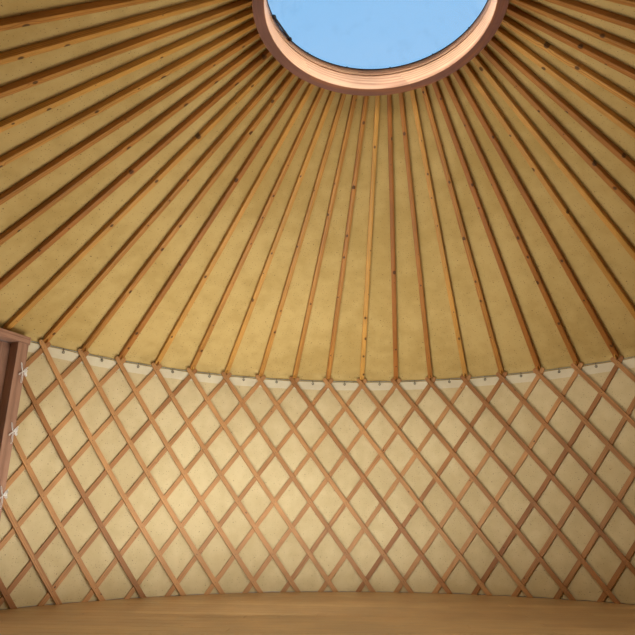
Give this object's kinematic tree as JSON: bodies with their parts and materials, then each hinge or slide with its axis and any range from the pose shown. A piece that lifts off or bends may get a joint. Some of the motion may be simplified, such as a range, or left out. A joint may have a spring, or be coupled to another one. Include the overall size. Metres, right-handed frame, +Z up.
{
  "type": "yurt",
  "caption": "Round lattice-walled yurt with straight rafters, a wooden crown under a clear dome, cloth covers, a timber floor and a glazed door that swings out.",
  "frame": {"origin": "centre of the round plan on the ground under the platform", "axes": "+Z up; the door faces -Y; +X is to the right for someone who stands outside and looks at the door"},
  "size_m": [6.106, 6.132, 3.806],
  "materials": {
    "floor_wood": "oiled boards",
    "door_wood": "oiled",
    "lattice_wood": "oiled",
    "rafter_wood": "oiled",
    "crown_wood": "laminated, varnished",
    "door_glass": "clear",
    "dome_sheet": "clear",
    "steel": "brushed",
    "dark_metal": "satin black",
    "seal_rubber": "matt",
    "liner_cloth": "woven, flecked",
    "outer_canvas": "woven canvas"
  },
  "bodies": {
    "yurt": {"floor_joists": "floor_wood", "platform_rim": "floor_wood", "floor_boards": "floor_wood", "door_sill_beam": "floor_wood", "door_threshold": "door_wood", "door_jamb_left": "door_wood", "door_jamb_right": "door_wood", "door_head": "door_wood", "frame_hinges": "steel", "lattice_1": "lattice_wood", "lattice_2": "lattice_wood", "lattice_3": "lattice_wood", "lattice_4": "lattice_wood", "lattice_5": "lattice_wood", "lattice_6": "lattice_wood", "lattice_7": "lattice_wood", "lattice_8": "lattice_wood", "lattice_9": "lattice_wood", "lattice_10": "lattice_wood", "lattice_11": "lattice_wood", "wall_cable": "steel", "wall_liner": "liner_cloth", "roof_liner": "liner_cloth", "wall_cover_1": "outer_canvas", "wall_cover_2": "outer_canvas", "wall_cover_3": "outer_canvas", "wall_cover_4": "outer_canvas", "rafters_front": "rafter_wood", "rafters_right": "rafter_wood", "rafters_back": "rafter_wood", "rafters_left": "rafter_wood", "crown_ring": "crown_wood", "crown_curb": "crown_wood", "dome_seal": "seal_rubber", "dome": "dome_sheet", "dome_hinge_bar": "dark_metal", "roof_cover_1": "outer_canvas", "roof_cover_2": "outer_canvas", "roof_cover_3": "outer_canvas", "roof_cover_4": "outer_canvas"},
    "door": {"door_leaf": "door_wood", "door_panel": "door_wood", "door_glass": "door_glass", "door_handle": "steel", "leaf_hinges": "steel"}
  },
  "joints": [
    {"name": "door_swing", "type": "hinge", "parent": "yurt", "child": "door", "pos_m": [0.40835, -3.0415, 1], "axis": [0, 0, 1], "range_deg": [0, 95]}
  ]
}
